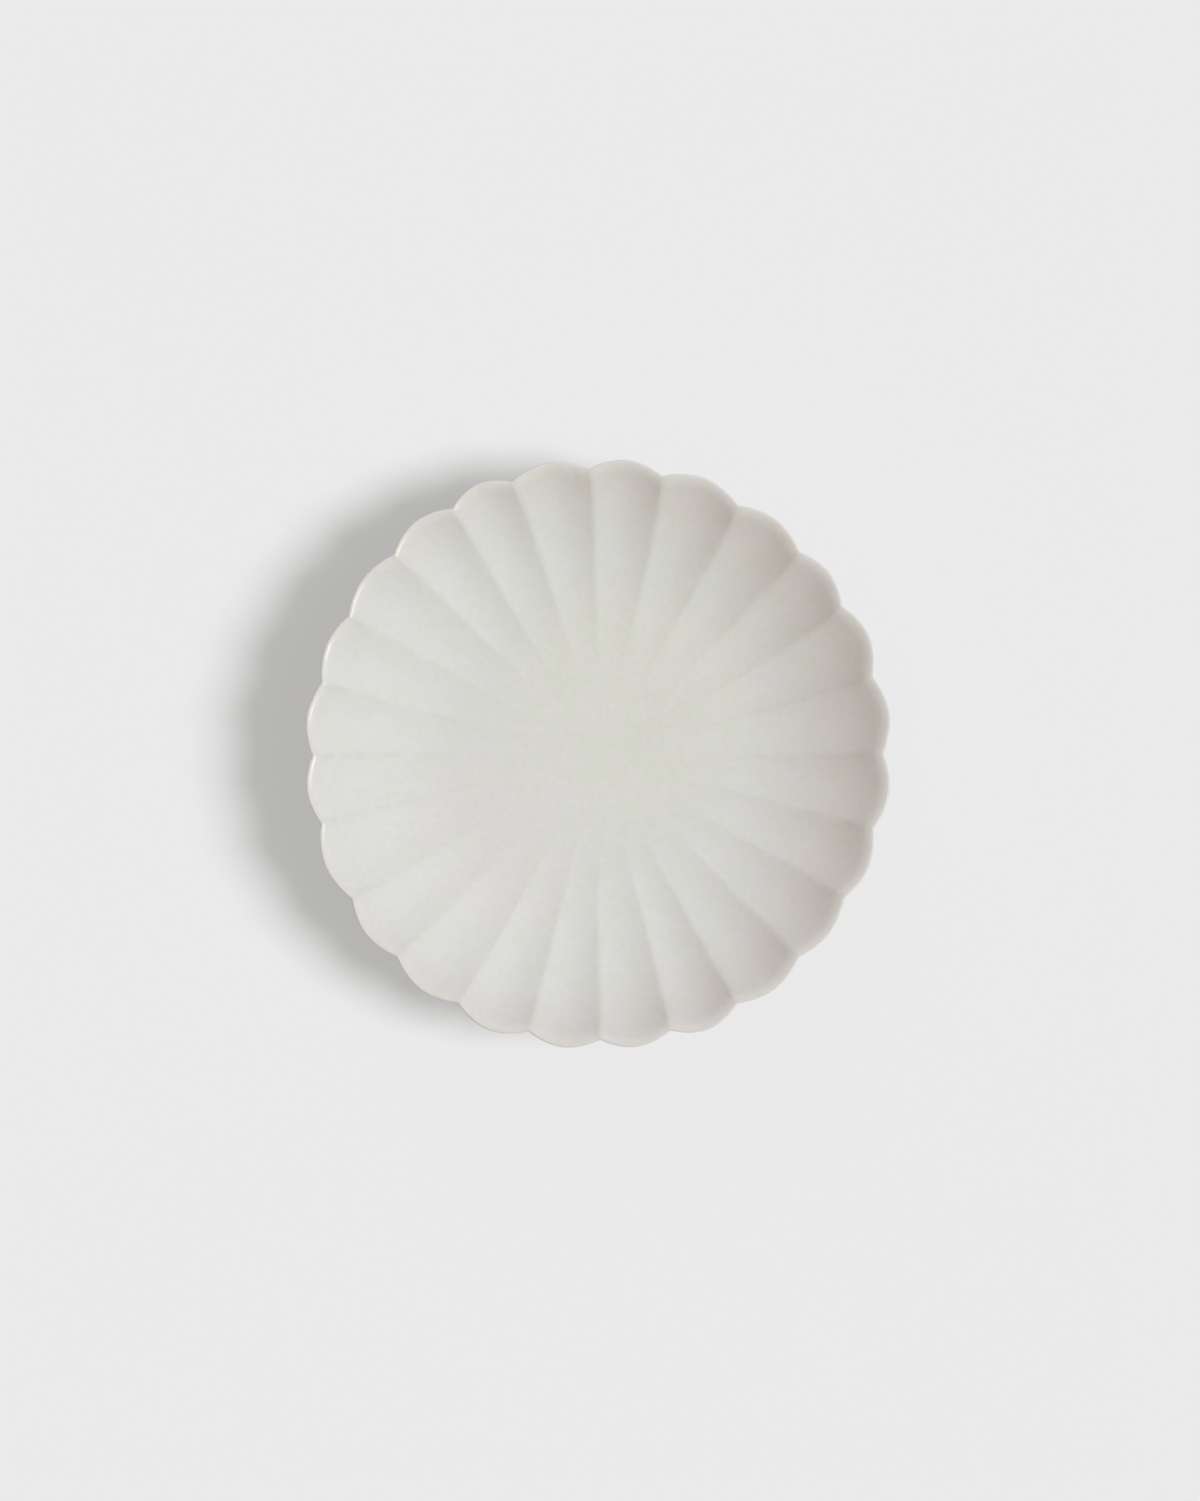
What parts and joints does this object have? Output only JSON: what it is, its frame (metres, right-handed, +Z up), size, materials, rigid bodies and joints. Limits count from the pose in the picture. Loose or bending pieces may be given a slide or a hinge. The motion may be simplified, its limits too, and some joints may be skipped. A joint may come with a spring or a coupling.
{
  "type": "scalloped dessert plate",
  "caption": "Shallow round dish with a scalloped rim: concave petals run from a nearly flat centre up to a rounded lip, glazed all over above a bare foot ring.",
  "frame": {"origin": "middle of the foot ring's resting face, on the surface that the plate stands on", "axes": "+Z up out of the dish; +X points at the notch between two petals at 3 o'clock in the picture; +Y points at 12 o'clock"},
  "size_m": [0.1784, 0.1795, 0.0263],
  "materials": {
    "clay": "fired pale clay, hidden under the glaze",
    "slip": "fired slip, hidden under the glaze",
    "foot_clay": "bare fired clay, matte and finely gritty where the plate rests",
    "glaze": "satin off-white glaze, thinner and warmer on the ridges and the lip",
    "recess_glaze": "satin off-white glaze, pooled inside the foot ring"
  },
  "bodies": {
    "root": {"clay_dish": "clay", "luting_slip": "slip", "foot_ring": "foot_clay", "glaze_coat": "glaze", "recess_glaze": "recess_glaze"}
  },
  "joints": []
}
